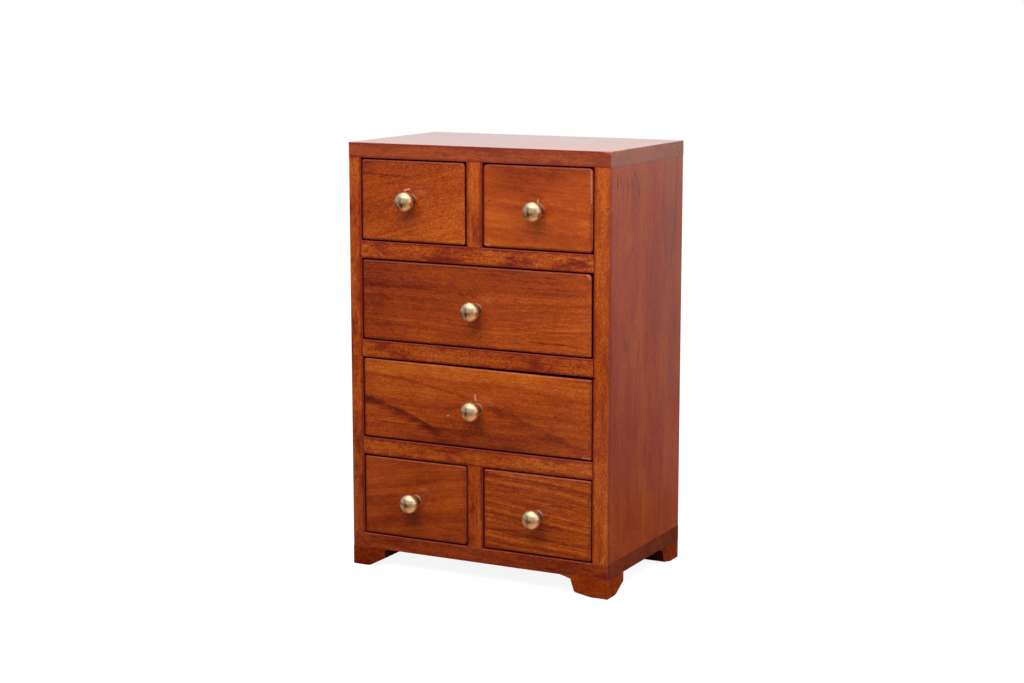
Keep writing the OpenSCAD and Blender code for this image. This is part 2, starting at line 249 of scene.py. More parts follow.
build_room()
build_table()
hang_lamp("front_softbox", azimuth=8, elevation=47, distance=0.80, width=0.52, height=0.52,
          power=4.6, target=Vector((0, 0, 0.16)))
hang_lamp("right_softbox", azimuth=66, elevation=38, distance=0.75, width=0.35, height=0.45,
          power=2.1, target=Vector((0, 0, 0.2)))


# ---- The camera ---------------------------------------------------------
# A long lens to the right of the chest and a little above it, at the distance
# at which the chest keeps its natural perspective.

camera_azimuth = 27.28
camera_elevation = 9.555
camera_distance = 1.4367
camera_target = Vector((0.0003, -0.00045, 0.1602))

camera = bpy.data.cameras.new("camera")
camera.lens = 72
camera.sensor_width = 36
camera_object = put_in_scene("camera", camera)
camera_object.location = (
    camera_target + heading_from(camera_azimuth, camera_elevation) * camera_distance
)
aim(camera_object, camera_target)
bpy.context.scene.camera = camera_object
bpy.context.scene.view_settings.view_transform = "Standard"


# ---- The case -----------------------------------------------------------
# Planed hardwood boards about 10 to 12 mm thick, dowelled and glued, then
# stained a warm red-brown and lacquered. The boards' long edges are eased by
# hand with sandpaper, more where they are handled and hardly at the joints.

DIRECTIONS = {
    "left": Vector((-1, 0, 0)), "right": Vector((1, 0, 0)),
    "front": Vector((0, -1, 0)), "back": Vector((0, 1, 0)),
    "bottom": Vector((0, 0, -1)), "top": Vector((0, 0, 1)),
}
TURNS = {"x": (0, 0, 0), "y": (0, 0, radians(-90)), "z": (0, radians(90), 0)}
# Edges that turn by more than eased_from are rounded, and those that turn by more than
# crisp_from look crisp. Cutters run on by past_edge where they come out of a board.
eased_from, crisp_from = radians(20), radians(50)
past_edge = 5 * mm


def box_mesh(low, high):
    bm = bmesh.new()
    bmesh.ops.create_cube(bm, size=1.0)
    bmesh.ops.scale(bm, vec=high - low, verts=bm.verts)
    bmesh.ops.translate(bm, vec=(low + high) / 2, verts=bm.verts)
    return bm


def new_piece(name, bm, body, material_slot, *nodes):
    """A finished piece made from this mesh, in the place of these CAD nodes."""
    piece = put_in_scene(name, new_mesh(name, bm))
    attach(piece, body)
    if nodes:
        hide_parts(*nodes)
    return piece


def keep_result(piece, modifier):
    """Makes what this modifier does part of the piece's own mesh."""
    graph = bpy.context.evaluated_depsgraph_get()
    result = bpy.data.meshes.new_from_object(piece.evaluated_get(graph))
    piece.modifiers.remove(modifier)
    result.name = piece.name
    piece.data = result


def cut_away(piece, cutter_mesh):
    """Takes the cutter's shape out of a piece, as a saw, plane or drill does."""
    cutter = put_in_scene("cutter", new_mesh("cutter", cutter_mesh))
    cut = piece.modifiers.new("cut", "BOOLEAN")
    cut.operation = "DIFFERENCE"
    cut.solver = "EXACT"
    cut.object = cutter
    keep_result(piece, cut)
    bpy.data.objects.remove(cutter)


def side_name(face):
    """The side of the chest that a face looks to most."""
    return max(DIRECTIONS, key=lambda name: face.normal.dot(DIRECTIONS[name]))


def between(**widths):
    """Edge widths in millimetres, each named by the two sides that the edge lies between."""
    return {frozenset(name.split("_")): width * mm for name, width in widths.items()}


def ease_edges(piece, widths, elsewhere=0.25 * mm, segments=4):
    """Rounds the edges. widths gives an edge's width by the two sides that it lies between."""
    widest = max([elsewhere, *widths.values()])
    bm = bmesh.new()
    bm.from_mesh(piece.data)
    weight = bm.edges.layers.float.new("bevel_weight_edge")
    for edge in bm.edges:
        if len(edge.link_faces) == 2 and edge.calc_face_angle() > eased_from:
            sides = frozenset(side_name(face) for face in edge.link_faces)
            edge[weight] = widths.get(sides, elsewhere) / widest
    bm.to_mesh(piece.data)
    bm.free()
    bevel = piece.modifiers.new("eased_edges", "BEVEL")
    bevel.limit_method = "WEIGHT"
    bevel.width = widest
    bevel.segments = segments
    keep_result(piece, bevel)


def shade_smooth(piece):
    """Flat faces stay flat, rounded edges look round, and cut edges stay crisp."""
    bm = bmesh.new()
    bm.from_mesh(piece.data)
    for face in bm.faces:
        face.smooth = True
    for edge in bm.edges:
        edge.smooth = len(edge.link_faces) == 2 and edge.calc_face_angle() < crisp_from
    bm.to_mesh(piece.data)
    bm.free()
    even = piece.modifiers.new("flat_faces", "WEIGHTED_NORMAL")
    even.weight = 100
    even.keep_sharp = True


def finish_faces(piece, outside, inside=None, inner_sides=()):
    """Gives the piece its finish, and another one on its unfinished sides."""
    piece.data.materials.clear()
    piece.data.materials.append(outside)
    if inside:
        piece.data.materials.append(inside)
    for face in piece.data.polygons:
        face.material_index = int(side_name(face) in inner_sides)


def in_millimetres(tree, **settings):
    """Coordinates in millimetres, moved or turned by the settings of a Mapping node."""
    return add(tree, "Mapping", {"Vector": place_on_chest(tree), "Scale": Vector((1, 1, 1)) / mm,
                                 **settings}).outputs[0]


def grain_place(tree, along, shift, tilt=(0, 0, 0)):
    """Coordinates in millimetres with x along the grain, moved to this board's own figure."""
    tilt = tuple(radians(angle) for angle in tilt)
    return add(tree, "Mapping", {"Vector": in_millimetres(tree, Rotation=TURNS[along]),
                                 "Location": shift, "Rotation": tilt}).outputs[0]


def noise(tree, place, stretch, detail=2.0, roughness=0.5):
    """Smooth random values from 0 to 1; stretch is how often they change per millimetre."""
    inputs = {"Vector": vector_calc(tree, "MULTIPLY", place, stretch), "Scale": 1.0,
              "Detail": detail, "Roughness": roughness}
    return add(tree, "TexNoise", inputs).outputs["Fac"]


def tone_colours(tree, tone, stops):
    """Picks the colour for a tone from 0, dark, to 1, light."""
    node = add(tree, "ValToRGB", {"Fac": tone})
    row = node.color_ramp.elements
    while len(row) < len(stops):
        row.new(0.5)
    for element, (position, shade) in zip(row, stops):
        element.position = position
        element.color = shade
    return node.outputs["Color"]


def new_finish(name):
    """A new material, its nodes and its surface shader."""
    material = bpy.data.materials.new(name)
    material.use_nodes = True
    tree = material.node_tree
    return material, tree, tree.nodes["Principled BSDF"]


STAINED = [(0.0, colour(54, 10, 8)), (0.3, colour(116, 34, 8)),
           (0.6, colour(168, 68, 10)), (1.0, colour(214, 118, 34))]
DARK_RED = colour(84, 16, 10)
SOAKED = colour(106, 7, 4)


def stained_wood(name, along, shift, stops=STAINED, tilt=(0, 0, 0), tone=0.55, pith=(40, 90),
                 rings=0.12, figure=0.08, waviness=10, mottle=0.06, fibre=0.08, speckle=0.13,
                 pores=0.35, blotch=0.08, patches=0.0, lacquer=0.9, gloss=0.3, more_tone=(),
                 stains=()):
    """Stained and lacquered hardwood. Rings, mottle, fibres and pores follow the grain.

    pith is how far beside and below the board the heart of the tree lay, in millimetres,
    and rings how many growth rings it has per millimetre. Each of more_tone adds to the
    tone, and each of stains gives a colour and where it shows, from 0 to 1."""
    material, tree, surface = new_finish(name)
    place = grain_place(tree, along, shift, tilt)
    # The long waves in the grain, and the rings round the heart of the tree
    wave = calc(tree, "SUBTRACT", noise(tree, place, (0.007, 0.02, 0.02), 1.5), 0.5)
    across = vector_calc(tree, "MULTIPLY", place, (0, 1, 1))
    from_pith = vector_calc(tree, "ADD", across, (0, *pith))
    warped = calc(tree, "ADD", vector_calc(tree, "LENGTH", from_pith),
                  times(tree, wave, 2.0 * waviness))
    ring = add(tree, "TexNoise", {"W": times(tree, warped, rings), "Scale": 1.0, "Detail": 4.0,
                                  "Roughness": 0.62}, noise_dimensions="1D").outputs["Fac"]
    mottled = noise(tree, place, (0.16, 0.42, 0.42), 3.0, 0.6)
    fibres = noise(tree, place, (0.035, 1.1, 1.1), 3.0, 0.7)
    grains = noise(tree, place, (0.5, 1.2, 1.2), 2.0, 0.75)
    cloud = noise(tree, place, (0.02, 0.035, 0.035), 2.0, 0.5)
    total = tone
    for value, amount in ((ring, figure), (mottled, mottle), (fibres, fibre),
                          (grains, speckle), (cloud, blotch)):
        total = calc(tree, "ADD", total, ramp(tree, value, 0.3, 0.7, -amount, amount, False))
    for addition in more_tone:
        total = calc(tree, "ADD", total, addition(tree))
    shade = tone_colours(tree, total, stops)
    # Where the stain soaked in deeper, and the open pores that the lacquer doesn't fill
    soaked = noise(tree, place, (0.035, 0.12, 0.12), 5.0, 0.7)
    shade = mix_colour(tree, ramp(tree, soaked, 0.47, 0.66, 0.0, patches), shade, SOAKED)
    pore_noise = noise(tree, place, (0.28, 2.3, 2.3), 1.0, 0.5)
    pore = ramp(tree, pore_noise, 0.60, 0.70, 0.0, pores)
    shade = mix_colour(tree, pore, shade, colour(78, 10, 5))
    for stain_colour, where in stains:
        shade = mix_colour(tree, where(tree), shade, stain_colour)
    tree.links.new(shade, surface.inputs["Base Color"])
    relief = calc(tree, "SUBTRACT", times(tree, fibres, 0.35), pore)
    bump = add(tree, "Bump", {"Height": relief, "Strength": 0.2, "Distance": 0.1 * mm})
    tree.links.new(bump.outputs[0], surface.inputs["Normal"])
    tree.links.new(bump.outputs[0], surface.inputs["Coat Normal"])
    tree.links.new(ramp(tree, cloud, 0.3, 0.7, 0.36, 0.46, False), surface.inputs["Roughness"])
    surface.inputs["Specular IOR Level"].default_value = gloss
    surface.inputs["Coat Weight"].default_value = lacquer
    surface.inputs["Coat Roughness"].default_value = 0.17
    return material


def facing(tree, side, start=0.6, full=0.9):
    """1 on faces that look to this side, 0 on the others."""
    normal = add(tree, "NewGeometry").outputs["True Normal"]
    return ramp(tree, vector_calc(tree, "DOT_PRODUCT", normal, DIRECTIONS[side]), start, full)


def wiped(side, share):
    """Stain wiped evenly over the faces that look to this side."""
    return lambda tree: times(tree, share, facing(tree, side))


def stain_along(sides, low, high, width, strength, face="front"):
    """Stain gathered in an uneven strip along these sides of a board's face."""
    edges = {"left": (0, low.x), "right": (0, high.x), "front": (1, low.y),
             "back": (1, high.y), "bottom": (2, low.z), "top": (2, high.z)}

    def where(tree):
        place = place_on_chest(tree)
        parts = split(tree, place)
        uneven = noise(tree, place, (150, 150, 150), 3.0, 0.6)
        reach = ramp(tree, uneven, 0.3, 0.7, 0.5 * width, 1.5 * width, False)
        share = 0.0
        for side in sides:
            axis, edge = edges[side]
            away = calc(tree, "ABSOLUTE", calc(tree, "SUBTRACT", parts[axis], edge))
            near = ramp(tree, calc(tree, "DIVIDE", away, reach), 0.0, 1.0, strength, 0.0)
            share = most(tree, share, near)
        return times(tree, share, facing(tree, face))
    return where


def mark(start, end, width, strength, face="front"):
    """A short mark on a face, from start to end, fading out at its width."""
    def where(tree):
        offset = vector_calc(tree, "SUBTRACT", place_on_chest(tree), start)
        run = end - start
        along = vector_calc(tree, "DOT_PRODUCT", offset, run / run.length_squared)
        along = ramp(tree, along, 0.0, 1.0, smooth=False)
        nearest = add(tree, "VectorMath", {0: run, "Scale": along}, operation="SCALE").outputs[0]
        away = vector_calc(tree, "DISTANCE", offset, nearest)
        return times(tree, ramp(tree, away, 0.3 * width, width, strength, 0.0),
                     facing(tree, face))
    return where


DARK_STAIN = colour(36, 6, 6)
EDGE_STAIN = colour(92, 26, 16)
case_low, case_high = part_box("top_board")
case_low.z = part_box("bottom_board")[0].z
front_y = case_low.y


def by_depth(tree, start, end, low, high):
    """A value that changes from low to high between two depths behind the front."""
    return ramp(tree, split(tree, place_on_chest(tree))[1], front_y + start * mm,
                front_y + end * mm, low, high)


def opening_wood(name, along, shift):
    """The unfinished faces inside an opening. The stain reaches in a finger's width."""
    def stained_lip(tree):
        return by_depth(tree, 4, 16, 0.95, 0.0)
    raw = [(0.0, colour(110, 62, 36)), (0.5, colour(158, 98, 60)), (1.0, colour(196, 138, 92))]
    return stained_wood(name, along, shift, stops=raw, lacquer=0.0, pores=0.5,
                        stains=[(colour(132, 30, 20), stained_lip)])


def on_side(depth, height):
    """A point on the outside of the right side, in millimetres from the front and the floor."""
    return Vector((case_high.x, front_y + depth * mm, height * mm))


def on_front(x, z):
    """A point on the front of the chest, in millimetres from the middle and the floor."""
    return Vector((x * mm, front_y, z * mm))


# A flame of darker heartwood high up on the right side, and some dark flecks: how deep and
# how high each starts, where it ends, its width and its strength
FLAME = colour(104, 52, 50)
FLECK = colour(70, 24, 24)
SIDE_MARKS = [
    (FLAME, 111, 288, 108, 240, 2.6, 0.55), (FLAME, 108, 240, 100, 214, 3.0, 0.45),
    (FLAME, 88, 286, 86, 246, 2.2, 0.35), (FLAME, 86, 246, 97, 212, 2.4, 0.35),
    (FLAME, 97, 290, 98, 230, 14.0, 0.26), (FLAME, 108, 178, 105, 120, 9.0, 0.18),
    (FLECK, 32, 230, 37, 233, 1.2, 0.4), (FLECK, 32, 230, 30, 222, 1.2, 0.35),
]
for depth, height, slant, length in [
        (10, 284, 0.5, 9), (12.5, 281, -0.8, 5), (15, 284, 1.5, 10), (20.5, 279, -1.5, 11),
        (25, 281, 2, 6), (29, 277, -2.5, 8), (33, 280, 3, 5), (38, 283, 5, 4), (43, 279, 3, 12),
        (24, 172, 1, 7), (27, 170, 1, 8), (30, 171, 1, 5), (46, 162, 1, 5), (60, 174, 1, 6)]:
    SIDE_MARKS.append((FLECK, depth, height, depth + slant, height - length, 1.1, 0.55))
SIDE_FIGURE = [(shade, mark(on_side(d0, h0), on_side(d1, h1), width * mm, strength, "right"))
               for shade, d0, h0, d1, h1, width, strength in SIDE_MARKS]

# Each board: the way its grain runs, its own figure, its unfinished sides, the sides of
# its front edge where stain has gathered, and how far each of its edges is rounded
SHELF = dict(along="x", inner=["top", "bottom"], gathered=["top", "bottom"],
             edges=between(top_front=0.7, bottom_front=0.5))
PARTITION = dict(along="z", inner=["left", "right"], gathered=["left", "right"],
                 edges=between(front_left=0.6, front_right=0.6))
CASE_BOARDS = {
    "top_board": dict(
        along="x", shift=(31, 12, 5), tone=0.48, patches=0.75, speckle=0.15, rings=0.2,
        lacquer=1.0, gloss=0.35, inner=["bottom"], gathered=["bottom", "top"],
        edges=between(top_front=0.8, top_right=0.6, top_left=0.6, top_back=0.7,
                      front_right=1.1, front_left=0.9, front_bottom=0.5)),
    "bottom_board": dict(
        along="x", shift=(410, 77, 41), tone=0.43, patches=0.65, speckle=0.14,
        inner=["top"], gathered=[],
        edges=between(front_right=1.1, front_left=0.9, top_front=0.6)),
    "left_side": dict(
        along="z", shift=(88, 260, 13), tone=0.60, patches=0.75, speckle=0.20,
        inner=["right"], gathered=["right"],
        edges=between(front_left=0.9, left_back=0.7, front_right=0.6)),
    "right_side": dict(
        along="z", shift=(19, 133, 402), tone=0.64, patches=0.3, speckle=0.18,
        inner=["left"], gathered=["left"],
        edges=between(front_right=1.3, right_back=0.7, front_left=0.6)),
    "upper_shelf": dict(SHELF, shift=(77, 300, 61), tone=0.60, patches=0.9, speckle=0.26),
    "middle_shelf": dict(SHELF, shift=(520, 44, 90), tone=0.60, patches=0.75, speckle=0.26),
    "lower_shelf": dict(SHELF, shift=(233, 211, 7), tone=0.62, patches=0.7, speckle=0.20),
    "upper_partition": dict(PARTITION, shift=(140, 19, 350), tone=0.63, patches=0.65,
                            speckle=0.18),
    "lower_partition": dict(PARTITION, shift=(9, 391, 157), tone=0.60, patches=0.85,
                            speckle=0.16),
}
REBATED = ["top_board", "bottom_board", "left_side", "right_side"]
rebate_play = 0.2 * mm
saw_cut_h, saw_cut_reach, saw_cut_depth = 0.8 * mm, 2.2 * mm, 6 * mm
saw_cut_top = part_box("middle_shelf")[0].z
WORN_CORNER = [(9 * mm, 1.3 * mm, 1.4 * mm), (2 * mm, 1.6 * mm, 2.6 * mm)]
ring_turn = 2000.0  # radians for each metre
panel_low, panel_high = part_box("back_panel")


def wear_corner(bm, low, high):
    """Knocks off the front right top corner. A facet is its reach along x, y and z."""
    corner = Vector((high.x, low.y, high.z))
    for reach in WORN_CORNER:
        point = corner - Vector((reach[0], 0, 0))
        slope = Vector((1 / reach[0], -1 / reach[1], 1 / reach[2])).normalized()
        cut = bmesh.ops.bisect_plane(bm, geom=[*bm.verts, *bm.edges, *bm.faces], dist=1e-7,
                                     plane_co=point, plane_no=slope, clear_outer=True)
        rim = [item for item in cut["geom_cut"] if isinstance(item, bmesh.types.BMEdge)]
        bmesh.ops.contextual_create(bm, geom=rim)
    bmesh.ops.recalc_face_normals(bm, faces=bm.faces)


def end_rings(tree):
    """Growth rings about 3 mm apart on the right end of the top board, towards its back."""
    place = place_on_chest(tree)
    away = vector_calc(tree, "DISTANCE", place, on_side(104, 283))
    shake = times(tree, noise(tree, place, (130, 130, 130), 3.0, 0.6), 7.0 * mm)
    wave = calc(tree, "SINE", times(tree, calc(tree, "ADD", away, shake), ring_turn))
    return times(tree, ramp(tree, wave, -0.3, 1.0, 0.0, 0.4),
                 ramp(tree, away, 18 * mm, 50 * mm, 1.0, 0.3), facing(tree, "right"))


def paler_towards_back(tree):
    """The right side is a little paler towards its back edge."""
    return times(tree, by_depth(tree, 60, 115, 0.0, 0.15), facing(tree, "right"))


# Stains and marks that only one board has
OWN_STAINS = {
    "left_side": [
        (colour(150, 60, 16), wiped("left", 0.6)),
        (DARK_RED, mark(on_front(-95, 24), on_front(-95, 105), 9 * mm, 0.22))],
    "right_side": [
        (colour(146, 32, 26), wiped("right", 0.34)),
        (colour(200, 100, 80), paler_towards_back),
        *SIDE_FIGURE,
        (DARK_STAIN, mark(on_front(97.6, 262.8), on_front(97.6, 262.6), 0.8 * mm, 0.9))],
    "top_board": [
        (colour(204, 92, 44), wiped("top", 0.25)),
        (colour(172, 112, 88), wiped("right", 0.4)),
        (FLAME, end_rings),
        (colour(156, 88, 68), wiped("front", 0.16))],
    "bottom_board": [(DARK_RED, wiped("right", 0.4))],
}

for node, look in CASE_BOARDS.items():
    low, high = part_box(node)
    bm = box_mesh(low, high)
    if node == "top_board":
        wear_corner(bm, low, high)
    board = new_piece(node + "_wood", bm, "case", "case_wood", node)
    ease_edges(board, look["edges"], elsewhere=0.05 * mm)
    if node in REBATED:
        play = Vector((rebate_play, 0, rebate_play))
        cut_away(board, box_mesh(panel_low - play, panel_high + play + Vector((0, past_edge, 0))))
    if node == "right_side":
        # The saw ran on past the corner of the third drawer's opening
        cut_away(board, box_mesh(
            Vector((low.x - mm, low.y - mm, saw_cut_top - saw_cut_h)),
            Vector((low.x + saw_cut_reach, low.y + saw_cut_depth, saw_cut_top))))
    shade_smooth(board)
    stains = [
        (EDGE_STAIN, stain_along(["right"], case_low, case_high, width=1.8 * mm, strength=0.6)),
        (EDGE_STAIN, stain_along(["front"], case_low, case_high, width=4.5 * mm, strength=0.7,
                                 face="right")),
        (SOAKED, stain_along(look["gathered"], low, high, width=2.6 * mm, strength=0.9)),
        (DARK_RED, stain_along(["bottom", "top"], low, high, width=0.9 * mm, strength=0.5,
                               face="right")),
        *OWN_STAINS.get(node, []),
    ]
    outside = stained_wood(node + "_stain", look["along"], look["shift"], tone=look["tone"],
                           patches=look["patches"], speckle=look["speckle"],
                           rings=look.get("rings", 0.12), lacquer=look.get("lacquer", 0.9),
                           gloss=look.get("gloss", 0.3), stains=stains)
    inside = opening_wood(node + "_inside", look["along"], look["shift"])
    finish_faces(board, outside, inside, look["inner"])


# ---- The back -----------------------------------------------------------
# A thin plywood panel, let into a rebate in the four outer boards and pinned
# there and along the shelves. It is stained like the case but not lacquered.

def plywood(name, along, shift):
    pale = [(0.0, colour(120, 66, 34)), (0.5, colour(160, 96, 52)), (1.0, colour(190, 128, 78))]
    return stained_wood(name, along, shift, stops=pale, rings=0.05, figure=0.2, waviness=22,
                        pith=(10, 8), mottle=0.08, fibre=0.12, lacquer=0.0)


def give_material(node, material):
    """Gives a CAD piece that keeps its own shape a finish."""
    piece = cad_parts[node]
    piece.data.materials.clear()
    piece.data.materials.append(material)


give_material("back_panel", plywood("back_plywood", "z", (5, 0, 100)))


# ---- The feet -----------------------------------------------------------
# Four alike blocks of the same wood, sawn to a slanting outline, sanded round
# and screwed up into the bottom board, each a quarter turn on from the last.

foot_l, foot_d, foot_h = 28 * mm, 26 * mm, 13.2 * mm
tail_l, tail_h = 8 * mm, 2.2 * mm
sole, sole_rise, foot_lean = 13 * mm, 2.2 * mm, 2.8 * mm
end_cut_h = 6.8 * mm
recess_r, recess_depth = 2.95 * mm, 2 * mm
foot_round, foot_rim_round = 1.6 * mm, 0.45 * mm
FEET = ["front_right_foot", "back_right_foot", "back_left_foot", "front_left_foot"]


def round_edges(bm, edges, width, segments):
    bmesh.ops.bevel(bm, geom=edges, offset=width, offset_type="OFFSET", affect="EDGES",
                    segments=segments, profile=0.5, material=-1, clamp_overlap=True)


def foot_mesh():
    """A foot drawn at its outer corner, its long side along x and its short side along y."""
    outline = [(0, 0), (sole, 0), (foot_l - foot_lean, sole_rise), (foot_l, foot_h - tail_h),
               (foot_l + tail_l, foot_h), (0, foot_h)]
    bm = bmesh.new()
    face = bm.faces.new([bm.verts.new((x, 0, z)) for x, z in outline])
    swept = bmesh.ops.extrude_face_region(bm, geom=[face])["geom"]
    moved = [item for item in swept if isinstance(item, bmesh.types.BMVert)]
    bmesh.ops.translate(bm, vec=(0, foot_d, 0), verts=moved)
    slope = Vector((0, end_cut_h, sole - foot_d)).normalized()
    cut = bmesh.ops.bisect_plane(bm, geom=[*bm.verts, *bm.edges, *bm.faces], dist=1e-7,
                                 plane_co=(0, sole, 0), plane_no=slope, clear_outer=True)
    rim = [item for item in cut["geom_cut"] if isinstance(item, bmesh.types.BMEdge)]
    bmesh.ops.contextual_create(bm, geom=rim)
    bmesh.ops.recalc_face_normals(bm, faces=bm.faces)
    below_case = [edge for edge in bm.edges if min(v.co.z for v in edge.verts) < foot_h - mm
                  and edge.calc_face_angle() > radians(12)]
    hidden = [edge for edge in below_case if min(v.co.x for v in edge.verts) > mm
              and min(v.co.y for v in edge.verts) > mm]
    across = [edge for edge in below_case if edge not in hidden
              and (abs(edge.verts[0].co.y - edge.verts[1].co.y) > foot_d / 3
                   or abs(edge.verts[0].co.x - edge.verts[1].co.x) > foot_l / 3)
              and max(v.co.z for v in edge.verts) < foot_h / 3
              and max(v.co.x for v in edge.verts) > mm and max(v.co.y for v in edge.verts) > mm]
    round_edges(bm, hidden + across, foot_round, 4)
    rim = [edge for edge in bm.edges if edge.calc_face_angle() > radians(40)
           and min(v.co.z for v in edge.verts) < foot_h - mm]
    round_edges(bm, rim, foot_rim_round, 3)
    return bm


for turn, node in enumerate(FEET):
    low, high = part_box(node)
    corner = Vector((high.x if "right" in node else low.x,
                     high.y if "back" in node else low.y, low.z))
    turned = Matrix.Rotation(radians(90 * turn), 3, "Z")
    bm = foot_mesh()
    bmesh.ops.scale(bm, vec=(-1, 1, 1), verts=bm.verts)
    bmesh.ops.rotate(bm, cent=(0, 0, 0), matrix=turned, verts=bm.verts)
    bmesh.ops.translate(bm, vec=corner, verts=bm.verts)
    bmesh.ops.recalc_face_normals(bm, faces=bm.faces)
    foot = new_piece(node + "_wood", bm, "case", "case_wood", node)
    inward = turned @ Vector((-sole / 2, sole / 2, 0))
    drill = bmesh.new()
    bmesh.ops.create_cone(drill, cap_ends=True, segments=32, radius1=recess_r, radius2=recess_r,
                          depth=2 * recess_depth)
    bmesh.ops.translate(drill, vec=corner + inward, verts=drill.verts)
    cut_away(foot, drill)
    shade_smooth(foot)
    figure_shift = (300 + low.x / mm, 400, 33)
    foot_tone = 0.46 if node == "front_right_foot" else 0.34
    foot_stain = stained_wood(node + "_stain", "x", figure_shift, tone=foot_tone, patches=0.6,
                              lacquer=0.05, gloss=0.08)
    # The inner faces and the sole are painted nearly black: painted shade, much darker than the
    # sawn wood itself.
    inner_painted_shade = stained_wood(node + "_sawn", "x", figure_shift, tone=0.05, lacquer=0.0, gloss=0.04)
    inner = ["bottom", "left" if "right" in node else "right",
             "front" if "back" in node else "back"]
    finish_faces(foot, foot_stain, inner_painted_shade, inner)


# ---- Drawer fronts ------------------------------------------------------
# Each drawer has a 9 mm front of its own piece of hardwood, fitted by hand into
# its opening and sanded round on its rim, with its own figure in the grain.

def from_middle(tree, middle):
    """Coordinates in millimetres from the middle of a front, and how far across and up."""
    local = in_millimetres(tree, Location=-middle / mm)
    across, _, up = split(tree, local)
    return local, across, up


def streak(middle, start, end, width, depth, bend=0.0, fade=0.12):
    """A darker growth ring across a front. It is sharp along its top and soft below."""
    def tone(tree):
        local, across, up = from_middle(tree, middle)
        run = end[0] - start[0]
        share = calc(tree, "DIVIDE", calc(tree, "SUBTRACT", across, start[0]), run)
        rise = times(tree, share, end[1] - start[1])
        arch = times(tree, share, calc(tree, "SUBTRACT", 1.0, share), 4.0 * bend)
        shake = times(tree, calc(tree, "SUBTRACT", noise(
            tree, local, (0.05, 0.0, 0.05), 3.0, 0.6), 0.5), 0.6 * width + 1.2)
        line = start[1]
        for lift in (rise, arch, shake):
            line = calc(tree, "ADD", line, lift)
        away = calc(tree, "DIVIDE", calc(tree, "SUBTRACT", up, line), width)
        profile = times(tree, ramp(tree, away, -1.0, 0.0), ramp(tree, away, 0.0, 0.3, 1.0, 0.0))
        ends = times(tree, ramp(tree, share, 0.0, fade),
                     ramp(tree, share, 1.0 - fade, 1.0, 1.0, 0.0))
        broken = ramp(tree, noise(tree, local, (0.09, 0.3, 0.3), 3.0, 0.7), 0.3, 0.6, 0.4, 1.0)
        return times(tree, profile, ends, broken, -depth)
    return tone


def lean(middle, per_across, per_up):
    """A tone that grows slowly across and up the front, per 100 mm."""
    def tone(tree):
        across, up = from_middle(tree, middle)[1:]
        return calc(tree, "ADD", times(tree, across, per_across / 100),
                    times(tree, up, per_up / 100))
    return tone


def rim_stain_and_gap_shade(tree):
    """Darkens the edges of a front round the side that is seen: partly stain that pooled there,
    partly painted shade of the gap round the front.
    """
    return times(tree, 0.85, calc(tree, "SUBTRACT", 1.0, facing(tree, "front", 0.15, 0.5)))
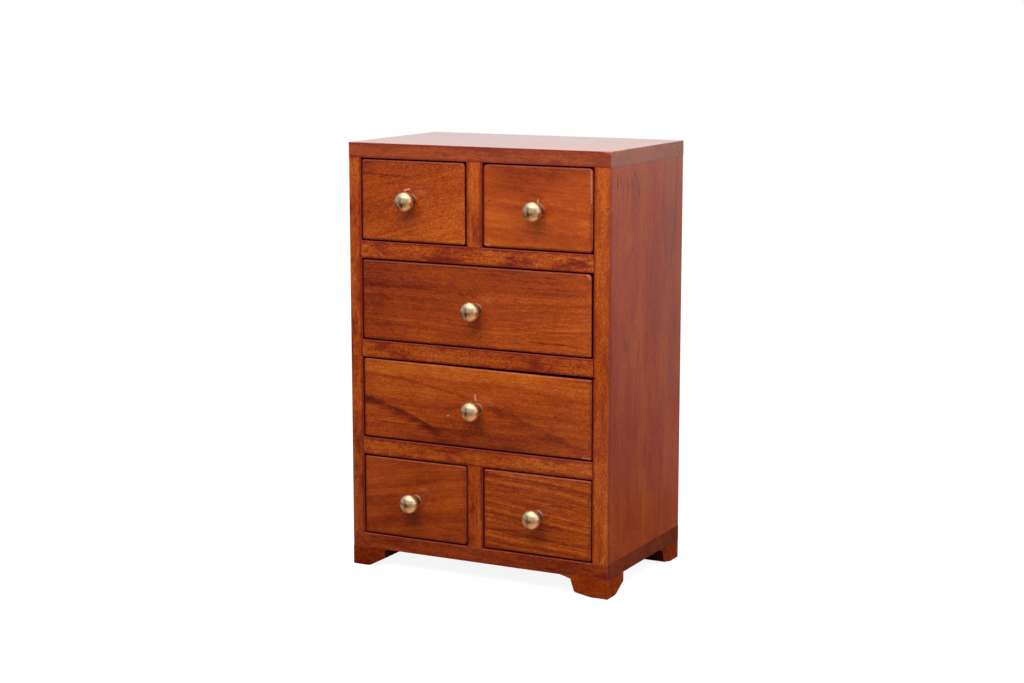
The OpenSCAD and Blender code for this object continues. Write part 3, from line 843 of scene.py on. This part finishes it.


# Each front: its grain, the tone and its lean, its streaks, the corners that were rounded
# more, how far its corners were planed back across and up, its short pale marks, and the
# pale marks on its edge: chips worn pale, and painted highlights where the rounded edge
# catches the light
PALE_MARK = colour(226, 178, 160)
# Pale on the edges of the fronts: chips worn pale, and painted highlights where the rounded edge
# catches the light.
WORN_AND_HIGHLIT_EDGE = colour(196, 132, 104)
planed_back = 0.15 * mm
groove_play = 0.2 * mm
FRONT_RIM = between(top_front=1.5, bottom_front=1.4, front_left=1.3, front_right=1.6)
FRONTS = {
    "upper_left": dict(
        grain=dict(shift=(12, 40, 61), tilt=(0, 14, 0), tone=0.57, speckle=0.18, figure=0.05,
                   mottle=0.04, rings=0.16, pores=0.35),
        leans=(0.20, -0.45),
        streaks=[((-40, 19), (-2, 17), 2.2, 0.22), ((-38, 12), (10, 13), 1.2, 0.10)],
        corners=between(top_left=1.8, top_right=2.4, bottom_left=2.6, bottom_right=1.6),
        planed={("right", "top"): (-0.5, 0), ("right", "bottom"): (-0.5, 0)},
        pale_marks=[(-55.3, 268.3, -51.2, 269.6, 0.8)]),
    "upper_right": dict(
        grain=dict(shift=(333, 90, 18), tilt=(0, -4, 0), tone=0.55, speckle=0.08, figure=0.07,
                   fibre=0.06, mottle=0.06, pores=0.12, blotch=0.12),
        leans=(0.10, -0.15),
        streaks=[((-40, 16), (5, 10), 7, 0.10), ((-30, 3), (10, -2), 4, 0.08)],
        corners=between(top_left=3.6, top_right=3.0, bottom_left=3.6, bottom_right=3.2),
        pale_marks=[(46.7, 262.9, 46.7, 266.4, 0.6)],
        worn_and_highlit_edges=[(85.6, 286.6, 86.0, 266, 1.1), (6.8, 234.9, 10.5, 234.4, 1.0)]),
    "second": dict(
        grain=dict(shift=(154, 10, 204), tone=0.50, speckle=0.12, figure=0.08, fibre=0.08,
                   pores=0.3, rings=0.2),
        leans=(0.08, -0.25),
        streaks=[((-92, 11), (10, 9), 5.5, 0.15), ((35, 15.5), (84, 16), 1.2, 0.15),
                 ((40, -20), (78, -21), 1.6, 0.38), ((14, -7), (70, -8), 1.4, 0.16),
                 ((-88, -17), (-30, -15), 1.2, 0.12), ((50, -13), (88, -11), 3, 0.12)],
        corners=between(top_left=1.2, top_right=2.6, bottom_left=2.0, bottom_right=1.4),
        planed={("right", "top"): (-0.6, 0), ("right", "bottom"): (-0.6, 0)},
        worn_and_highlit_edges=[(83.6, 218.2, 85.4, 216.6, 1.8)]),
    "third": dict(
        grain=dict(shift=(61, 250, 33), tone=0.57, speckle=0.13, figure=0.08, pores=0.25),
        leans=(0.0, 0.40),
        streaks=[((-96, 3.5), (-24, -20), 8.0, 0.36, 1.5), ((-92, 18.6), (0, 6), 2.6, 0.20, 2),
                 ((5, 5), (88, -23), 8.0, 0.16), ((-80, -16), (0, -16.5), 1.3, 0.20),
                 ((-24, 2), (90, -24), 26.0, 0.08), ((-60, -24), (40, -25), 5.0, 0.12)],
        corners=between(top_left=1.8, top_right=0.8, bottom_left=2.2, bottom_right=1.0),
        planed={("right", "top"): (-0.1, -1.0)},
        pale_marks=[(-0.9, 131.3, -0.6, 127.2, 0.8), (-22.5, 114.6, -21.4, 114.8, 0.5)],
        worn_and_highlit_edges=[(80.4, 95.3, 85.8, 95.1, 1.1)]),
    "lower_left": dict(
        grain=dict(shift=(205, 5, 145), tilt=(0, 9, 0), tone=0.51, speckle=0.09, figure=0.08,
                   fibre=0.07, pores=0.2, blotch=0.12),
        leans=(0.10, -0.10),
        streaks=[((14, -17), (38, -18), 1.0, 0.2), ((-40, -8), (30, 6), 8, 0.06)],
        corners=between(top_left=1.4, top_right=1.6, bottom_left=1.8, bottom_right=2.4),
        planed={("left", "top"): (0, -0.2)}, pale_marks=[(-52.1, 42.3, -51.6, 42.4, 0.7)]),
    "lower_right": dict(
        grain=dict(shift=(18, 177, 89), tilt=(0, -2, 0), tone=0.54, speckle=0.14, figure=0.16,
                   fibre=0.12, rings=0.3, pores=0.4),
        leans=(0.05, 0.0),
        streaks=[((-40, -14), (-8, -12), 1.4, 0.16), ((5, 7), (40, 10), 1.2, 0.14)],
        corners=between(top_left=1.2, top_right=1.0, bottom_left=1.2, bottom_right=1.4)),
}

for drawer, look in FRONTS.items():
    node = drawer + "_front"
    low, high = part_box(node)
    low += Vector((planed_back, 0, planed_back))
    high -= Vector((planed_back, 0, planed_back))
    middle = Vector(((low.x + high.x) / 2, low.y, (low.z + high.z) / 2))
    bm = box_mesh(low, high)
    for (across, up), (shift_x, shift_z) in look.get("planed", {}).items():
        planed = [v for v in bm.verts if (v.co.x > middle.x) == (across == "right")
                  and (v.co.z > middle.z) == (up == "top")]
        bmesh.ops.translate(bm, vec=(shift_x * mm, 0, shift_z * mm), verts=planed)
    front = new_piece(node + "_wood", bm, drawer + "_drawer", "front_wood", node)
    bottom_low, bottom_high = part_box(drawer + "_bottom")
    ease_edges(front, {**FRONT_RIM, **look["corners"]}, segments=5)
    cut_away(front, box_mesh(bottom_low - Vector((groove_play, groove_play, 0)),
                             bottom_high + Vector((groove_play, groove_play, groove_play))))
    shade_smooth(front)
    # The rims of a front are nearly black: pooled stain, and painted shade of the gap round the
    # front.
    stains = [(DARK_RED, stain_along(["left", "right", "top", "bottom"], low, high,
                                     width=2.6 * mm, strength=0.8)),
              (colour(72, 5, 5), rim_stain_and_gap_shade)]
    # Short pale marks on the front face.
    for x0, z0, x1, z1, width in look.get("pale_marks", []):
        stains.append((PALE_MARK, mark(on_front(x0, z0), on_front(x1, z1), width * mm, 0.6)))
    for x0, z0, x1, z1, width in look.get("worn_and_highlit_edges", []):
        stains.append((WORN_AND_HIGHLIT_EDGE, mark(on_front(x0, z0), on_front(x1, z1), width * mm, 0.45)))
    tones = [streak(middle, *values) for values in look["streaks"]]
    tones.append(lean(middle, *look["leans"]))
    finish = stained_wood(node + "_stain", "x", more_tone=tones, stains=stains, **look["grain"])
    raw = opening_wood(node + "_inside", "x", look["grain"]["shift"])
    finish_faces(front, finish, raw, ["back"])


# ---- Nail filler --------------------------------------------------------
# The nails through each front into the box sides are punched under the surface
# and the holes are filled with a dab of dark putty, rubbed nearly flush.

filler_r, filler_l, filler_proud, filler_round = 0.85 * mm, 0.5 * mm, 0.03 * mm, 0.08 * mm
nail_in = 1 * mm
face_forward = Matrix.Rotation(radians(90), 3, "X")
# How far the left and the right nail of each front stand above its middle, in millimetres
NAIL_LIFTS = {"upper_left": (7, 6.8), "upper_right": (3.6, 2), "second": (-2.7, -6.4),
              "third": (1.5, 2.5), "lower_left": (-1, -3), "lower_right": (-2, 0.6)}
putty = stained_wood("nail_putty", "x", (0, 0, 0), tone=0.40, lacquer=0.9)
for drawer, lifts in NAIL_LIFTS.items():
    low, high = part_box(drawer + "_front")
    bm = bmesh.new()
    for box_side, inward, lift in (("left", nail_in, lifts[0]), ("right", -nail_in, lifts[1])):
        side_low, side_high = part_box(drawer + "_box_" + box_side)
        dab = bmesh.ops.create_cone(bm, cap_ends=True, segments=20, radius1=filler_r,
                                    radius2=filler_r, depth=filler_l)["verts"]
        bmesh.ops.rotate(bm, cent=(0, 0, 0), matrix=face_forward, verts=dab)
        place = Vector(((side_low.x + side_high.x) / 2 + inward,
                        low.y + filler_l / 2 - filler_proud, (low.z + high.z) / 2 + lift * mm))
        bmesh.ops.translate(bm, vec=place, verts=dab)
    rims = [edge for edge in bm.edges if edge.calc_face_angle() > radians(60)]
    round_edges(bm, rims, filler_round, 2)
    filler = new_piece(drawer + "_nail_filler", bm, drawer + "_drawer", "front_wood")
    finish_faces(filler, putty)


# ---- Drawer boxes -------------------------------------------------------
# Sides and back of the same hardwood, planed and nailed, only wiped with thin
# stain. A 3 mm plywood bottom slides in a groove round the inside.

box_ease, bottom_ease = 0.4 * mm, 0.2 * mm
BOX_WOOD = [(0.0, colour(120, 72, 42)), (0.5, colour(170, 112, 70)), (1.0, colour(206, 152, 104))]
for index, drawer in enumerate(FRONTS):
    body = drawer + "_drawer"
    bottom_low, bottom_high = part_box(drawer + "_bottom")
    for part, along in (("box_left", "y"), ("box_right", "y"), ("box_back", "x")):
        node = drawer + "_" + part
        board = new_piece(node + "_wood", box_mesh(*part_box(node)), body, "box_wood", node)
        ease_edges(board, {}, elsewhere=box_ease, segments=3)
        if along == "y":
            cut_away(board, box_mesh(
                bottom_low - Vector((groove_play, 0, 0)),
                bottom_high + Vector((groove_play, past_edge, groove_play))))
        shade_smooth(board)
        finish_faces(board, stained_wood(node + "_grain", along, (83 * index, 20 * index, 9),
                                         stops=BOX_WOOD, lacquer=0.0, mottle=0.12, pores=0.45))
    node = drawer + "_bottom"
    panel = new_piece(node + "_ply", box_mesh(*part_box(node)), body, "plywood", node)
    ease_edges(panel, {}, elsewhere=bottom_ease, segments=2)
    shade_smooth(panel)
    finish_faces(panel, plywood(node + "_veneer", "x", (40 * index, 0, 77)))


# ---- Knobs --------------------------------------------------------------
# Turned brass knobs with a rounded head, a waisted neck and a collar that bears
# on the wood. A screw shank of the same piece holds each one.

# All in millimetres; the stem is given as radius and height above the wood
knob_reach, head_r, head_l = 15.2, 7.0, 10.0
neck_angle, head_steps, knob_sides = -60, 16, 40
KNOB_STEM = [(0.0, -7.0), (0.9, -7.0), (1.6, -4.0), (1.6, 0.02), (4.4, 0.02), (4.7, 0.25),
             (4.7, 0.75), (4.45, 1.2), (4.0, 1.7), (3.55, 2.2), (3.25, 2.9), (3.15, 4.2),
             (3.3, 5.4)]


def knob_profile():
    """Radius and height of the outline, from the shank to the top."""
    head = []
    for step in range(head_steps + 1):
        angle = radians(neck_angle + (90 - neck_angle) * step / head_steps)
        head.append((head_r * cos(angle), knob_reach - head_l / 2 + head_l / 2 * sin(angle)))
    head[-1] = (0.0, knob_reach)
    return KNOB_STEM + head


def knob_mesh(centre):
    bm = bmesh.new()
    points = [bm.verts.new((radius * mm, 0, height * mm)) for radius, height in knob_profile()]
    edges = [bm.edges.new(pair) for pair in zip(points, points[1:])]
    bmesh.ops.spin(bm, geom=[*points, *edges], cent=(0, 0, 0), axis=(0, 0, 1),
                   angle=radians(360), steps=knob_sides, use_merge=True)
    bmesh.ops.remove_doubles(bm, verts=bm.verts, dist=0.001 * mm)
    bmesh.ops.rotate(bm, cent=(0, 0, 0), matrix=face_forward, verts=bm.verts)
    bmesh.ops.translate(bm, vec=centre, verts=bm.verts)
    bmesh.ops.recalc_face_normals(bm, faces=bm.faces)
    for face in bm.faces:
        face.smooth = True
    return bm


def brass(name, centre):
    """Polished brass, dull round the neck. The neck and collar are painted dark brown: partly
    polish and grime that stay in, partly a painted reflection of the wood.
    """
    material, tree, surface = new_finish(name)
    local = in_millimetres(tree, Location=-centre / mm)
    cloudy = noise(tree, local, (0.35, 0.35, 0.35), 3.0, 0.6)
    shade = mix_colour(tree, ramp(tree, cloudy, 0.35, 0.7), colour(253, 232, 196),
                       colour(240, 206, 160))
    height = times(tree, split(tree, local)[1], -1.0)
    radius = vector_calc(tree, "LENGTH", vector_calc(tree, "MULTIPLY", local, (1, 0, 1)))
    # Dark brown round the neck and collar: grime, and a painted reflection of the wood.
    grime_and_wood_reflection = times(tree, ramp(tree, height, 3.8, 6.0, 0.95, 0.0),
                    ramp(tree, radius, 4.2, 4.6, 1.0, 0.35))
    shade = mix_colour(tree, grime_and_wood_reflection, shade, colour(104, 50, 28))
    tree.links.new(shade, surface.inputs["Base Color"])
    surface.inputs["Metallic"].default_value = 1.0
    fine = noise(tree, local, (2.0, 0.8, 2.0), 2.0, 0.6)
    sheen = calc(tree, "ADD", ramp(tree, fine, 0.3, 0.7, 0.20, 0.25, False),
                 ramp(tree, height, 2.0, 6.0, 0.15, 0.0))
    tree.links.new(sheen, surface.inputs["Roughness"])
    dents = noise(tree, local, (0.22, 0.22, 0.22), 1.0, 0.5)
    bump = add(tree, "Bump", {"Height": dents, "Strength": 0.2, "Distance": 0.3 * mm})
    tree.links.new(bump.outputs[0], surface.inputs["Normal"])
    return material


for drawer in FRONTS:
    low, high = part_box(drawer + "_knob")
    centre = Vector(((low.x + high.x) / 2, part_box(drawer + "_front")[0].y, (low.z + high.z) / 2))
    knob = new_piece(drawer + "_knob_brass", knob_mesh(centre), drawer + "_drawer", "brass",
                     drawer + "_knob")
    knob.data.materials.append(brass(drawer + "_brass", centre))
    smooth = knob.modifiers.new("smooth", "SUBSURF")
    smooth.levels = 1
    smooth.render_levels = 1


# ---- Hidden fixings -----------------------------------------------------
# Beech dowels in the joints of the case, steel pins in the back, steel screws
# in the feet and steel nails in the drawer boxes.

def steel():
    material, tree, surface = new_finish("bright_steel")
    dull = noise(tree, place_on_chest(tree), (900, 900, 900), 3.0, 0.6)
    shade = mix_colour(tree, ramp(tree, dull, 0.35, 0.7), colour(196, 194, 190),
                       colour(138, 132, 124))
    tree.links.new(shade, surface.inputs["Base Color"])
    tree.links.new(ramp(tree, dull, 0.3, 0.7, 0.28, 0.5, False), surface.inputs["Roughness"])
    surface.inputs["Metallic"].default_value = 1.0
    return material


BEECH = [(0.0, colour(178, 142, 104)), (0.5, colour(204, 172, 132)), (1.0, colour(226, 198, 160))]
give_material("case_dowels", stained_wood("beech", "x", (3, 3, 3), stops=BEECH, lacquer=0.0,
                                          pores=0.2))
bright_steel = steel()
for node in ["back_panel_pins", "foot_screws", *[drawer + "_nails" for drawer in FRONTS]]:
    give_material(node, bright_steel)
